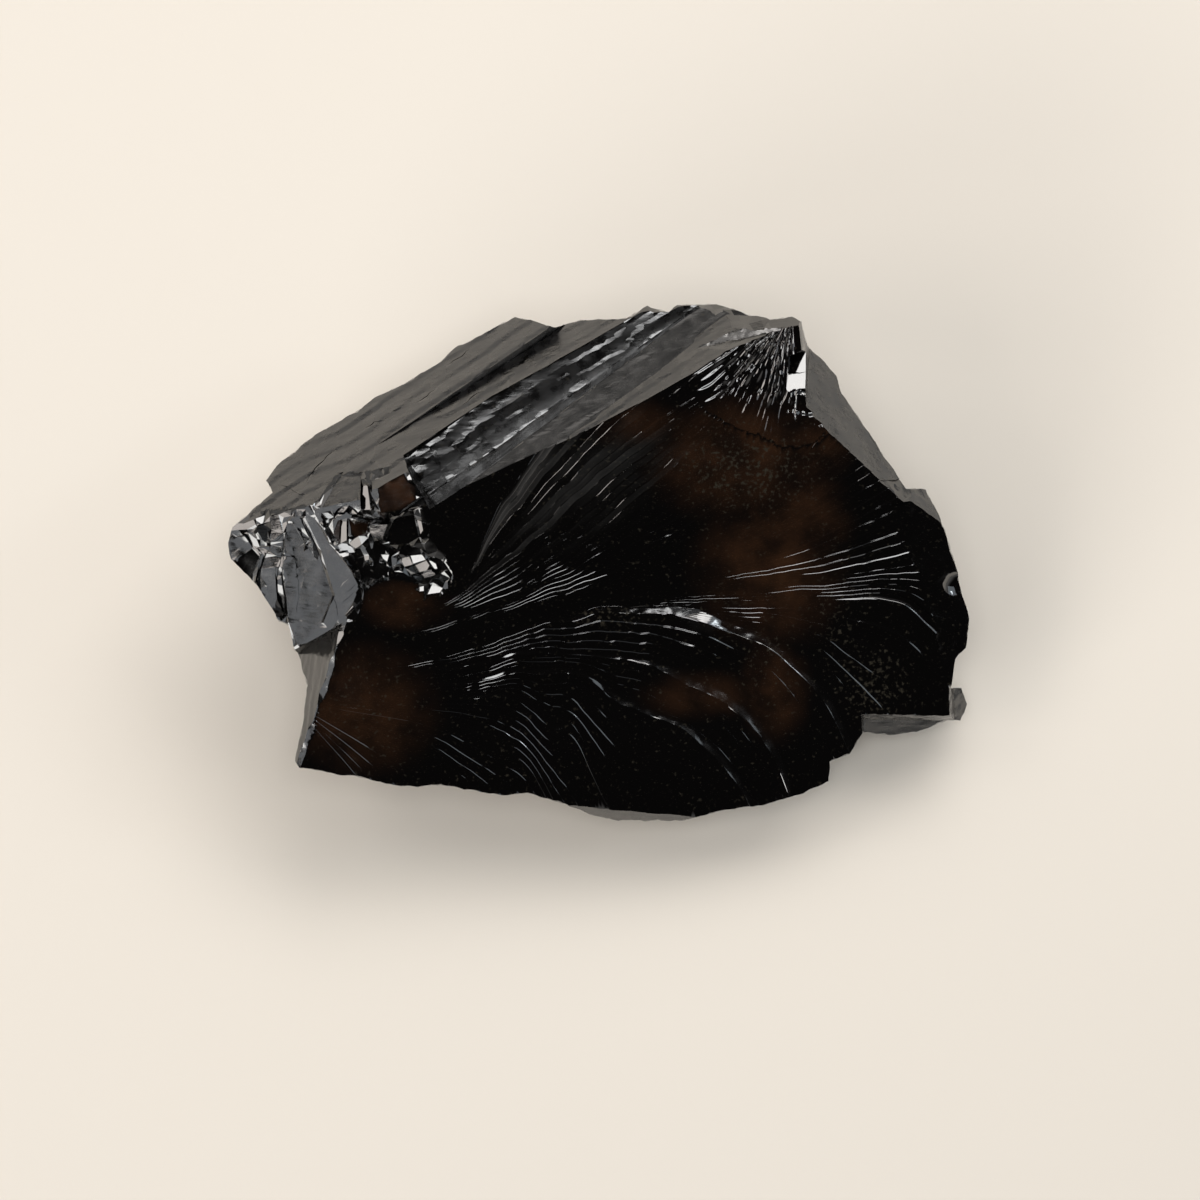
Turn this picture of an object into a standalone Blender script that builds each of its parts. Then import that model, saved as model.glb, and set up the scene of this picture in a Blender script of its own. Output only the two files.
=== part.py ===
"""A lump of noble shungite: one glassy black stone, shaped as such a stone is, by breaking.

It starts as a block with the stone's outline seen from above. Each fracture face then takes off
what lies outside it. A face is named by a point on it, the direction that it looks towards (0 is
+X, 90 is +Y) and its dip, from 0 for a level top to 90 for a wall, or by three points on it. A
step is a notch with two or more faces as its sides.

Lengths are in millimetres and are scaled to metres as the meshes are made. The origin is on the
surface that the stone rests on, under the middle of its outline.
"""

import math
import random

import bmesh
import bpy
import numpy as np
from mathutils import Matrix, Vector

MM = 0.001
NAME = "stone"
BLOCK_HEIGHT = 32.0
CUTTER_REACH = 75.0

# The outline seen from above, clockwise from the left tip.
OUTLINE = [
    (-37.1, 2.2), (-36.6, 3.8), (-34.2, 5.9), (-32.7, 7.2), (-33.5, 8.4), (-32.0, 10.3),
    (-28.5, 13.1), (-24.3, 15.5), (-22.3, 17.0), (-19.6, 18.2), (-16.0, 20.4), (-14.6, 21.8),
    (-11.9, 23.1), (-8.5, 24.8), (-6.8, 24.5), (-4.4, 23.7), (-2.0, 24.5), (2.6, 24.6),
    (4.7, 25.8), (6.8, 25.2), (7.6, 25.9), (11.6, 26.0), (14.0, 25.1), (16.8, 24.3),
    (19.0, 24.7), (20.0, 24.1), (20.7, 21.8), (22.4, 20.2), (23.6, 18.8), (24.2, 17.1),
    (26.6, 13.6), (28.8, 10.3), (30.5, 7.7), (32.5, 7.6), (33.5, 6.0), (34.7, 3.2),
    (35.6, 0.1), (36.3, -2.7), (37.1, -5.5), (36.7, -8.3), (35.7, -9.5), (35.3, -12.3),
    (36.4, -12.3), (37.1, -14.0), (36.4, -15.8), (35.0, -15.8), (31.9, -16.9), (29.1, -17.2),
    (26.5, -16.9), (25.2, -19.1), (23.2, -19.8), (23.1, -21.8), (20.0, -23.2), (16.8, -24.2),
    (11.7, -24.9), (8.9, -25.7), (1.8, -25.9), (-0.9, -25.3), (-3.4, -24.1), (-7.3, -23.0),
    (-9.7, -23.2), (-15.9, -22.2), (-19.6, -22.3), (-25.0, -21.2), (-30.1, -20.4),
    (-30.6, -19.6), (-29.7, -15.1), (-29.4, -12.1), (-30.8, -7.6), (-31.2, -6.1),
    (-32.1, -5.7), (-34.2, -2.2), (-36.9, 0.5),
]

# Faces that each cut the whole stone: point on the face, looks towards, dip.
SLAB_OUTER = ((-19.6, 18.2, 14.8), 123, 50)
LEFT_PLATE = ((-23.9, -2.2, 20.8), 218, 23)
TOP_EDGE = ((8.0, 25.2, 20.5), 96, 60)
FRONT_LIP = ((3.0, -24.7, 8.6), -90, 58)
MAIN_SCAR = ((0.0, 0.0, 19.1), -75, 23)

# The underside is cut back to the flat that the stone rests on, by faces that each run through
# two points just under the outline's edge and one point of the flat.
UNDERSIDE = {
    "under_left_back": ((-37.1, 2.5, 14.2), (-28.5, 13.1, 11.2), (-20.0, 7.5, 0.0)),
    "under_back_left": ((-28.5, 13.1, 12.0), (-8.5, 24.8, 12.8), (-13.0, 15.0, 0.0)),
    "under_back": ((-8.5, 24.8, 12.8), (11.6, 26.0, 15.6), (2.0, 20.0, 0.0)),
    "under_back_right": ((19.0, 24.7, 19.0), (24.2, 17.1, 15.0), (18.0, 13.0, 0.0)),
    "under_right": ((34.7, 3.2, 11.5), (37.1, -5.5, 7.8), (27.0, -3.0, 0.0)),
    "under_ledge": ((35.0, -15.8, 2.2), (26.5, -16.9, 1.8), (29.0, -13.5, 0.0)),
    "under_front_right": ((23.1, -21.8, 6.0), (8.9, -25.7, 5.0), (15.0, -18.0, 0.0)),
    "under_front": ((8.9, -25.7, 4.2), (-7.3, -23.0, 7.0), (-1.0, -18.5, 0.0)),
    "under_front_left": ((-9.7, -23.2, 7.4), (-30.1, -20.4, 11.2), (-18.0, -15.5, 0.0)),
    "under_left": ((-30.6, -19.6, 11.2), (-36.9, 0.5, 14.2), (-22.0, -8.0, 0.0)),
}

# Notches: what is outside every face of the group is broken away.
STEPS = {
    "groove": {
        "slab_inner": ((-7.9, 18.0, 21.2), 118.7, 50),
        "groove_riser": ((-13.2, 17.8, 18.8), -54.6, 62),
    },
    "rough_band": {
        "rough_end": ((-18.7, 9.3, 22.0), 27, 82),
        "rough_wall": ((-13.2, 15.1, 21.2), -54.5, 76),
        "rough_floor": ((-13.2, 15.1, 20.8), -60, 16),
        "rough_riser": ((0.0, 18.4, 20.9), 125.5, 70),
    },
    "strips": {
        "strip_edge": ((0.0, 18.8, 20.9), -54.5, 80),
        "dark_strip": ((1.0, 17.0, 22.8), 120, 37),
        "rim_strip": ((5.7, 17.0, 25.4), 122.9, 50),
    },
    "bright_corner": {
        "bright_facet": ((10.9, 21.9, 23.8), 139, 25),
        "bright_riser": ((10.3, 21.4, 23.9), 111, 60),
        "bright_left_wall": ((6.2, 20.9, 23.0), -47, 80),
        "bright_top_wall": ((12.0, 23.6, 22.9), -72, 75),
    },
    "right_edge": {
        "edge_low": ((32.0, -3.0, 14.35), -38, 26),
        "edge_wall": ((33.0, 6.4, 14.0), -80, 85),
    },
    "edge_rim": {
        "right_side": ((33.2, 4.5, 16.5), 32, 48),
        "rim_wall": ((33.0, 8.8, 14.0), -80, 85),
    },
    "right_bevel": {
        "right_plane": ((25.0, 11.0, 20.8), 28, 47),
        "apex_side": ((20.1, 19.0, 24.0), 2, 80),
    },
    "left_bevel": {
        "left_strip": ((-27.6, -12.5, 17.0), 172, 62),
        "plate_end": ((-28.0, -7.1, 18.0), -63, 85),
    },
    "ledge_front": {
        "ledge_top": ((29.0, -15.0, 6.9), -80, 40),
        "ledge_wall": ((30.0, -15.3, 8.0), -90, 80),
        "ledge_side": ((26.4, -17.0, 8.0), 0, 85),
    },
    "ledge_end": {
        "tip_top": ((36.0, -14.0, 5.6), -20, 46),
        "tip_wall": ((35.3, -13.0, 8.0), 0, 80),
        "tip_back": ((36.0, -12.2, 8.0), -90, 85),
    },
}

# The main scar is a shallow bowl with ribs that fan out from its left end.
BOWL_CENTRE = (4.0, -3.0)
BOWL_RADII = (33.0, 20.0)
BOWL_DEPTH = 2.0
SCAR_CELL = 1.15
SCAR_REACH = (42.0, 32.0)
RIB_HEIGHT = 0.10  # share of the distance to the next rib
RIB_STEEP_SHARE = 0.24
RIB_GAP_LEAST = 0.3
RIB_GAP_MOST = 7.0
RIB_CRESTS = [
    [(-26.1, -9.6), (-14.6, -7.8), (-4.4, -4.5), (3.0, -3.6), (8.0, -3.8), (11.7, -5.0),
     (18.4, -8.3), (21.2, -11.1), (23.0, -13.5), (25.0, -17.5)],
    [(-26.1, -10.1), (-14.6, -9.2), (-7.0, -7.7), (0.2, -7.8), (4.4, -8.6), (8.3, -10.6),
     (12.8, -12.8), (15.0, -14.8), (17.3, -17.9), (20.0, -24.5)],
    [(-26.1, -10.6), (-14.6, -10.7), (-7.0, -9.5), (-1.5, -10.0), (1.6, -12.3), (5.3, -13.7),
     (8.6, -15.4), (11.1, -17.6), (13.1, -19.6), (16.5, -25.5)],
    [(-26.1, -11.6), (-14.3, -12.1), (-7.9, -12.4), (-5.2, -14.5), (-2.5, -16.2),
     (-1.2, -18.8), (2.5, -26.0)],
    [(-26.1, -12.5), (-16.0, -14.0), (-10.5, -16.3), (-7.0, -19.0), (-4.0, -25.0)],
]

# Crushed hollows between the slabs, the left plate and the main scar: centre and radii.
HOLLOWS = [
    ((-20.5, 4.0, 24.0), (6.2, 4.6, 3.6)),
    ((-22.5, 0.6, 22.6), (4.6, 3.4, 2.7)),
    ((-16.5, 0.2, 23.4), (3.6, 3.4, 2.6)),
]
HOLLOW_JITTER = 0.16
SEED = 7

BLACK = (0.011, 0.010, 0.010, 1)
GLOSSY = 0.12


def collection(name):
    made = bpy.data.collections.new(name)
    bpy.context.scene.collection.children.link(made)
    return made


def axes_of(face):
    """The face's own frame: along its level line, up its dip, and out of the stone."""
    through = Vector(face[0])
    if isinstance(face[1], tuple):
        out = (Vector(face[1]) - through).cross(Vector(face[2]) - through).normalized()
    else:
        azimuth, dip = map(math.radians, face[1:])
        sideways = Vector((math.cos(azimuth), math.sin(azimuth), 0))
        out = sideways * math.sin(dip) + Vector((0, 0, math.cos(dip)))
    level = Vector((-out.y, out.x, 0)).normalized()
    frame = Matrix((level, out.cross(level), out)).transposed().to_4x4()
    frame.translation = through
    return frame


def crest_line(points, x):
    """The height in plan of a smooth line through the points, at each x."""
    px, py = np.array(points).T
    slope = np.gradient(py, px)
    i = np.clip(np.searchsorted(px, x) - 1, 0, len(px) - 2)
    width = px[i + 1] - px[i]
    t = np.clip((x - px[i]) / width, 0, 1)
    inside = (
        (2 * t**3 - 3 * t**2 + 1) * py[i]
        + (t**3 - 2 * t**2 + t) * width * slope[i]
        + (3 * t**2 - 2 * t**3) * py[i + 1]
        + (t**3 - t**2) * width * slope[i + 1]
    )
    before = np.minimum(x - px[0], 0) * slope[0]
    after = np.maximum(x - px[-1], 0) * slope[-1]
    return inside + before + after


def scar_relief(x, y):
    """How far the main scar stands off its plane, in plan coordinates."""
    across = ((x - BOWL_CENTRE[0]) / BOWL_RADII[0]) ** 2 + ((y - BOWL_CENTRE[1]) / BOWL_RADII[1]) ** 2
    relief = -BOWL_DEPTH * np.clip(1 - across, 0, 1) ** 2
    lines = [crest_line(points, x) for points in RIB_CRESTS]
    for above, below in zip(lines, lines[1:]):
        gap = np.maximum(above - below, RIB_GAP_LEAST)
        share = (above - y) / gap
        fall = np.clip(1 - share / (1 - RIB_STEEP_SHARE), 0, 1)
        rise = np.clip(1 - (1 - share) / RIB_STEEP_SHARE, 0, 1)
        between = (share >= 0) & (share < 1)
        relief += np.where(between, RIB_HEIGHT * np.minimum(gap, RIB_GAP_MOST) * (fall + rise), 0)
    return relief


def outside_of(name, face, cutters):
    """A closed block that fills the space outside one flat fracture face."""
    mesh = bpy.data.meshes.new(name)
    shape = bmesh.new()
    bmesh.ops.create_cube(shape, size=1)
    bmesh.ops.translate(shape, verts=shape.verts, vec=(0, 0, 0.5))
    bmesh.ops.scale(shape, verts=shape.verts, vec=(2 * CUTTER_REACH, 2 * CUTTER_REACH, CUTTER_REACH))
    return cutter(name, shape, mesh, axes_of(face), cutters)


def cutter(name, shape, mesh, frame, cutters):
    bmesh.ops.recalc_face_normals(shape, faces=shape.faces)
    shape.transform(Matrix.Scale(MM, 4) @ frame)
    shape.to_mesh(mesh)
    shape.free()
    obj = bpy.data.objects.new(name, mesh)
    obj.hide_render = True
    obj.display_type = "WIRE"
    cutters.objects.link(obj)
    return obj


def outside_of_scar(name, face, cutters):
    """The same for the main scar, whose lower side carries the bowl and its ribs."""
    mesh = bpy.data.meshes.new(name)
    shape = bmesh.new()
    cells = [round(2 * reach / SCAR_CELL) for reach in SCAR_REACH]
    bmesh.ops.create_grid(shape, x_segments=cells[0], y_segments=cells[1], size=1)
    bmesh.ops.scale(shape, verts=shape.verts, vec=(*SCAR_REACH, 1))
    frame = axes_of(face)
    places = np.array([frame @ v.co for v in shape.verts])
    for vert, relief in zip(shape.verts, scar_relief(places[:, 0], places[:, 1])):
        vert.co.z = relief
    rim = [edge for edge in shape.edges if edge.is_boundary]
    walls = bmesh.ops.extrude_edge_only(shape, edges=rim)["geom"]
    for vert in (part for part in walls if isinstance(part, bmesh.types.BMVert)):
        vert.co.z = CUTTER_REACH
    bmesh.ops.edgeloop_fill(shape, edges=[edge for edge in shape.edges if edge.is_boundary])
    return cutter(name, shape, mesh, frame, cutters)


def crushed_hollow(name, centre, radii, cutters, chance):
    """A small faceted ball, pushed out of round, that breaks a crushed hollow out of the stone."""
    mesh = bpy.data.meshes.new(name)
    shape = bmesh.new()
    bmesh.ops.create_icosphere(shape, subdivisions=1, radius=1)
    for vert in shape.verts:
        vert.co *= 1 + HOLLOW_JITTER * chance.uniform(-1, 1)
    frame = Matrix.Translation(centre) @ Matrix.Diagonal((*radii, 1))
    return cutter(name, shape, mesh, frame, cutters)


def outline_block(parts):
    """The block that the stone is broken from: the outline, extruded up from the ground."""
    curve = bpy.data.curves.new("outline", "CURVE")
    curve.dimensions = "2D"
    curve.fill_mode = "BOTH"
    curve.extrude = BLOCK_HEIGHT / 2 * MM
    line = curve.splines.new("POLY")
    line.points.add(len(OUTLINE) - 1)
    for point, (x, y) in zip(line.points, OUTLINE):
        point.co = (x * MM, y * MM, 0, 1)
    line.use_cyclic_u = True
    drawn = bpy.data.objects.new("outline", curve)
    drawn.location.z = BLOCK_HEIGHT / 2 * MM
    parts.objects.link(drawn)
    bpy.context.view_layer.update()
    mesh = bpy.data.meshes.new_from_object(drawn.evaluated_get(bpy.context.evaluated_depsgraph_get()))
    mesh.name = NAME
    mesh.transform(drawn.matrix_world)
    shape = bmesh.new()
    shape.from_mesh(mesh)
    bmesh.ops.remove_doubles(shape, verts=shape.verts, dist=0.01 * MM)
    bmesh.ops.recalc_face_normals(shape, faces=shape.faces)
    shape.to_mesh(mesh)
    shape.free()
    bpy.data.objects.remove(drawn)
    block = bpy.data.objects.new(NAME, mesh)
    parts.objects.link(block)
    return block


def boolean(obj, other, operation):
    modifier = obj.modifiers.new(other.name, "BOOLEAN")
    modifier.operation = operation
    modifier.object = other


def glassy_black():
    material = bpy.data.materials.new("noble_shungite")
    material.use_nodes = True
    shader = material.node_tree.nodes["Principled BSDF"]
    shader.inputs["Base Color"].default_value = BLACK
    shader.inputs["Roughness"].default_value = GLOSSY
    shader.inputs["Metallic"].default_value = 0.0
    return material


def main():
    for obj in list(bpy.data.objects):
        bpy.data.objects.remove(obj)
    parts, cutters = collection("shungite"), collection("cutters")
    stone = outline_block(parts)
    whole = {
        "slab_outer": SLAB_OUTER,
        "left_plate": LEFT_PLATE,
        "top_edge": TOP_EDGE,
        "front_lip": FRONT_LIP,
        **UNDERSIDE,
    }
    for name, face in whole.items():
        boolean(stone, outside_of(name, face, cutters), "DIFFERENCE")
    for faces in STEPS.values():
        first, *others = [outside_of(name, face, cutters) for name, face in faces.items()]
        for other in others:
            boolean(first, other, "INTERSECT")
        boolean(stone, first, "DIFFERENCE")
    boolean(stone, outside_of_scar("main_scar", MAIN_SCAR, cutters), "DIFFERENCE")
    chance = random.Random(SEED)
    for number, (centre, radii) in enumerate(HOLLOWS, 1):
        hollow = crushed_hollow(f"hollow_{number}", centre, radii, cutters, chance)
        boolean(stone, hollow, "DIFFERENCE")
    stone.data.materials.append(glassy_black())


main()
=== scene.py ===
"""The looks of the shungite stone: the same lump as the CAD solid, broken finely.

The stone starts as a block with the outline seen from above. Every fracture face is a sheet with
relief, and takes off what lies outside it, as it does in the CAD. The faces carry ripples, hackles
and steps that are too fine for the CAD solid, and the fine stone replaces that solid.

Lengths are in millimetres and are scaled to metres as the meshes are made. A face is named by a
point on it, the direction that it looks towards (0 is +X, 90 is +Y) and its dip, or by three points.
In the reliefs, noise() and rough() are given places divided by the width of a wave, and last a seed.
"""

import math
import random
from collections import namedtuple

import bmesh
import bpy
import numpy as np
from mathutils import Matrix, Vector
from mathutils.geometry import delaunay_2d_cdt


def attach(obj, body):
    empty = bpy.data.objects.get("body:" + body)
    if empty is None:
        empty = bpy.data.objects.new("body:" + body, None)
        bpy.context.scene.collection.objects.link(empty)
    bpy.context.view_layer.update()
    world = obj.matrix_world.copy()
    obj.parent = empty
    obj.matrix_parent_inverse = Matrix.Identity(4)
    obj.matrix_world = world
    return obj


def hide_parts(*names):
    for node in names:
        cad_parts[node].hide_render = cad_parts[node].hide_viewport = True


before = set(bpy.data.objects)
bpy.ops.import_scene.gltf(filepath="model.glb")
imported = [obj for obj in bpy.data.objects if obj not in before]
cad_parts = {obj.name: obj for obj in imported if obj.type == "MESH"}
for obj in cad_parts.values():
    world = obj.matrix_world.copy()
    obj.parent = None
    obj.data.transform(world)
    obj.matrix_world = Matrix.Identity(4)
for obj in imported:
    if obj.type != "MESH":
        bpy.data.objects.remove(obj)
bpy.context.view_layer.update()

MM = 0.001
NODE = "stone"
BLOCK_HEIGHT = 32.0
STONE_HEIGHT = 28.0  # the faces' fine relief reaches this high
CUTTER_REACH = 75.0
LAYERS = ("satin", "warm_reflection", "dust_and_glint", "round")  # the values that the vertices carry
SCAR, FACE, CRUSHED = 1.0, 0.0, -1.0  # the values of round

# The outline seen from above, clockwise from the left tip.
OUTLINE = [
    (-37.1, 2.2), (-36.6, 3.8), (-34.2, 5.9), (-32.7, 7.2), (-33.5, 8.4), (-32.0, 10.3), (-28.5, 13.1),
    (-24.3, 15.5), (-22.3, 17.0), (-19.6, 18.2), (-16.0, 20.4), (-14.6, 21.8), (-11.9, 23.1), (-8.5, 24.8),
    (-6.8, 24.5), (-4.4, 23.7), (-2.0, 24.5), (2.6, 24.6), (4.7, 25.8), (6.8, 25.2), (7.6, 25.9),
    (11.6, 26.0), (14.0, 25.1), (16.8, 24.3), (19.0, 24.7), (20.0, 24.1), (20.7, 21.8), (22.4, 20.2),
    (23.6, 18.8), (24.2, 17.1), (26.6, 13.6), (28.8, 10.3), (30.5, 7.7), (32.5, 7.6), (33.5, 6.0),
    (34.7, 3.2), (35.6, 0.1), (36.3, -2.7), (37.1, -5.5), (36.7, -8.3), (35.7, -9.5), (35.3, -12.3),
    (36.4, -12.3), (37.1, -14.0), (36.4, -15.8), (35.0, -15.8), (31.9, -16.9), (29.1, -17.2), (26.5, -16.9),
    (25.2, -19.1), (23.2, -19.8), (23.1, -21.8), (20.0, -23.2), (16.8, -24.2), (11.7, -24.9), (8.9, -25.7),
    (1.8, -25.9), (-0.9, -25.3), (-3.4, -24.1), (-7.3, -23.0), (-9.7, -23.2), (-15.9, -22.2),
    (-19.6, -22.3), (-25.0, -21.2), (-30.1, -20.4), (-30.6, -19.6), (-29.7, -15.1), (-29.4, -12.1),
    (-30.8, -7.6), (-31.2, -6.1), (-32.1, -5.7), (-34.2, -2.2), (-36.9, 0.5),
]
OUTLINE_STEP = 0.45
WALL_STEP = 0.8
WALL_INSET = 0.25
WALL_SATIN = 0.2

# Lines that the hackles of the main scar follow, from the upper fan down. They share an origin at
# the scar's left end. Those from FIRST_CREST to LAST_CREST are the crests of its ribs.
FLOW_LINES = [
    [(-26.1, -7.5), (-21.5, -5.7), (-16.0, -3.5), (-12.5, 0.5), (-10.0, 6.5), (-8.0, 9.5)],
    [(-26.1, -7.8), (-19.9, -5.2), (-14.3, -2.7), (-9.0, 2.0), (-1.0, 9.5), (9.0, 16.5), (16.0, 21.5)],
    [(-26.1, -8.1), (-18.0, -5.3), (-7.0, -1.4), (0.0, 4.0), (10.0, 12.5), (16.0, 18.5), (20.0, 22.0)],
    [(-26.1, -8.4), (-17.0, -6.5), (-4.0, -2.4), (3.0, -0.2), (9.0, 1.9), (19.0, 8.5), (25.0, 14.5)],
    [(-26.1, -8.7), (-15.0, -6.6), (-4.4, -3.2), (3.0, -1.6), (10.0, -0.4), (20.0, 2.6), (28.3, 6.8),
      (33.0, 9.5)],
    [(-26.1, -9.0), (-15.0, -7.0), (-4.4, -3.7), (3.0, -2.4), (12.8, -1.2), (21.8, -0.5), (30.2, 0.7),
      (36.0, 2.0)],
    [(-26.1, -9.3), (-15.0, -7.4), (-4.4, -4.1), (3.0, -3.1), (9.0, -3.0), (14.0, -2.9), (24.0, -2.4),
      (28.4, -2.5), (30.8, -3.2), (33.0, -5.2), (36.5, -9.0)],
    [(-26.1, -9.6), (-14.6, -7.8), (-4.4, -4.5), (3.0, -3.6), (8.0, -3.8), (11.7, -5.0), (18.4, -8.3),
      (21.2, -11.1), (23.0, -13.5), (25.0, -17.5)],
    [(-26.1, -10.1), (-14.6, -9.2), (-7.0, -7.7), (0.2, -7.8), (4.4, -8.6), (8.3, -10.6), (12.8, -12.8),
      (15.0, -14.8), (17.3, -17.9), (20.0, -24.5)],
    [(-26.1, -10.6), (-14.6, -10.7), (-7.0, -9.5), (-1.5, -10.0), (1.6, -12.3), (5.3, -13.7), (8.6, -15.4),
      (11.1, -17.6), (13.1, -19.6), (16.5, -25.5)],
    [(-26.1, -11.6), (-14.3, -12.1), (-7.9, -12.4), (-5.2, -14.5), (-2.5, -16.2), (-1.2, -18.8),
      (2.5, -26.0)],
    [(-26.1, -12.5), (-16.0, -14.0), (-10.5, -16.3), (-7.0, -19.0), (-4.0, -25.0)],
    [(-27.0, -13.5), (-20.0, -16.5), (-15.0, -19.5), (-12.0, -22.5)],
    [(-28.0, -15.5), (-25.0, -19.5), (-23.0, -22.5)],
]
FIRST_CREST = 7
LAST_CREST = 11
# How many hackles lie between each flow line and the next.
HACKLES = [9, 7, 7, 8, 6, 6, 8, 5, 5, 5, 6, 5, 5]
HACKLE_ROWS = (0.02, 0.11, 0.50, 0.89, 0.98)  # where a hackle has rows of vertices, counted from its step
HACKLE_SLOPE = 0.11
ROWS_BEYOND = 34
ROW_GAP_BEYOND = 0.45
LEAST_ROW_GAP = 0.004
COLUMN_STEP = 0.32
SCAR_REACH = 40.0
MAIN_SCAR = ((0.0, 0.0, 19.1), -75, 23)
RISE_WIDTH = 0.34
RISE_SLOPE = 0.36
RISE_GAP = (0.3, 6.5)  # the least and most room that a rise is measured against
BROAD_RISE = (10.0, 2.2, 0.35, 0.76)  # where crest 1 is broadest, over what length, by how much, how steep

# The corner scar: spokes that radiate from the corner where a blow landed.
APEX = (18.9, 25.2)
APEX_RADIUS = 12.8
APEX_DEPTH = 0.9
SPOKE_DEGREES = 3.4
SPOKE_TURN = (-192, -28)
SPOKE_ROWS = (0.0, 0.10, 0.40, 0.70)
SPOKE_SLOPE = 1.9

# The chips between the slabs, the cracked plate and the main scar, and the plate's own pieces. Each
# has its corners, the direction it looks towards, its dip, its lift, how satin it is, and how much
# brown painted reflection it has.
CHIPS = [
    ([(-26.5, 7.8), (-25.7, 8.9), (-23.7, 9.0), (-23.7, 5.4), (-25.0, 6.0), (-26.3, 5.4),
      (-27.9, 5.1)], 125, 46, 0.2, 1.0, 0.0),
    ([(-23.6, 5.4), (-23.4, 8.0), (-23.0, 7.8), (-22.7, 5.4)], 196, 25, 0.2, 0.0, 0.0),
    ([(-22.5, 8.3), (-20.5, 9.1), (-19.4, 9.2), (-19.1, 8.1), (-18.1, 6.4), (-19.1, 5.4), (-20.7, 5.0),
      (-21.7, 5.1), (-22.6, 7.0)], -60, 14, 0.5, 0.4, 1.0),
    ([(-19.3, 9.4), (-18.8, 9.2), (-18.5, 8.1), (-18.9, 8.1)], 80, 22, 0.5, 0.0, 0.0),
    ([(-18.2, 6.8), (-17.6, 6.6), (-17.7, 6.0), (-18.1, 6.3)], 80, 22, 0.5, 0.0, 0.0),
    ([(-25.6, 4.3), (-25.1, 4.3), (-25.1, 2.4), (-25.7, 2.1)], 192, 24, 0.3, 0.0, 0.0),
    ([(-26.5, 4.5), (-25.7, 4.4), (-25.9, 2.3), (-26.4, 3.0)], 245, 22, 0.2, 0.4, 0.6),
    ([(-24.9, 4.6), (-22.9, 4.3), (-23.0, 3.2), (-23.9, 2.8), (-24.9, 3.0)], -30, 20, 0.2, 0.2, 0.6),
    ([(-22.8, 3.9), (-21.0, 4.0), (-21.4, 3.0), (-21.5, 2.3), (-22.3, 2.7),
      (-22.8, 3.2)], 205, 25, 0.5, 0.3, 0.0),
    ([(-24.9, 2.1), (-24.3, 2.6), (-23.6, 2.0), (-24.2, 1.6)], 190, 24, 0.3, 0.2, 0.0),
    ([(-21.0, 3.3), (-20.4, 4.5), (-18.4, 5.0), (-18.2, 4.0), (-17.9, 2.7), (-18.9, 2.1),
      (-20.8, 1.9)], -40, 13, 0.1, 0.0, 0.0),
    ([(-18.1, 4.4), (-17.7, 4.3), (-17.4, 2.8), (-17.7, 2.7)], 185, 24, 0.2, 0.0, 0.0),
    ([(-19.8, 0.6), (-18.9, 0.8), (-18.6, 0.0), (-19.4, -0.2)], 200, 22, 0.2, 0.3, 0.0),
    ([(-18.8, 0.9), (-17.7, 1.1), (-17.3, 0.5), (-18.5, 0.1)], 80, 22, 0.3, 0.2, 0.0),
    ([(-18.4, 0.0), (-17.2, 0.4), (-16.7, -0.4), (-18.1, -0.8)], 190, 23, 0.4, 0.4, 0.0),
    ([(-17.1, 0.6), (-16.3, 0.1), (-16.0, -0.8), (-16.5, -0.3)], 78, 23, 0.4, 0.2, 0.0),
    ([(-19.3, -0.4), (-18.2, -0.9), (-18.6, -1.1)], 85, 20, 0.3, 0.2, 0.0),
    ([(-17.9, -1.0), (-16.7, -0.6), (-16.2, -1.0), (-17.4, -1.3)], 205, 22, 0.3, 0.4, 0.0),
    ([(-21.7, 1.0), (-20.9, 1.0), (-21.1, 0.3), (-21.5, 0.6)], 85, 22, 0.3, 0.2, 0.0),
    ([(-23.4, 0.9), (-22.9, 0.9), (-22.9, 0.5), (-23.3, 0.4)], 192, 24, 0.2, 0.2, 0.0),
    ([(-25.7, 1.1), (-25.3, 1.2), (-25.3, 0.8), (-25.6, 0.7)], 75, 22, 0.2, 0.2, 0.0),
    ([(-20.7, 0.8), (-20.1, 0.6), (-20.2, 0.0), (-20.6, -0.2)], 215, 24, 0.2, 0.2, 0.0),
    ([(-17.2, -3.1), (-16.7, -2.0), (-15.6, -2.3), (-16.2, -3.2), (-16.9, -3.5)], 82, 22, 0.3, 0.2, 0.0),
    ([(-17.9, -2.2), (-17.5, -2.1), (-17.5, -3.0), (-17.9, -2.9)], 75, 22, 0.2, 0.2, 0.0),
    ([(-26.4, 4.3), (-26.0, 4.9), (-25.2, 5.0), (-23.4, 4.7), (-21.5, 4.4), (-21.0, 4.1), (-22.8, 4.0),
      (-24.9, 4.7)], -70, 26, 0.4, 0.2, 0.0),
]
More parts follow.
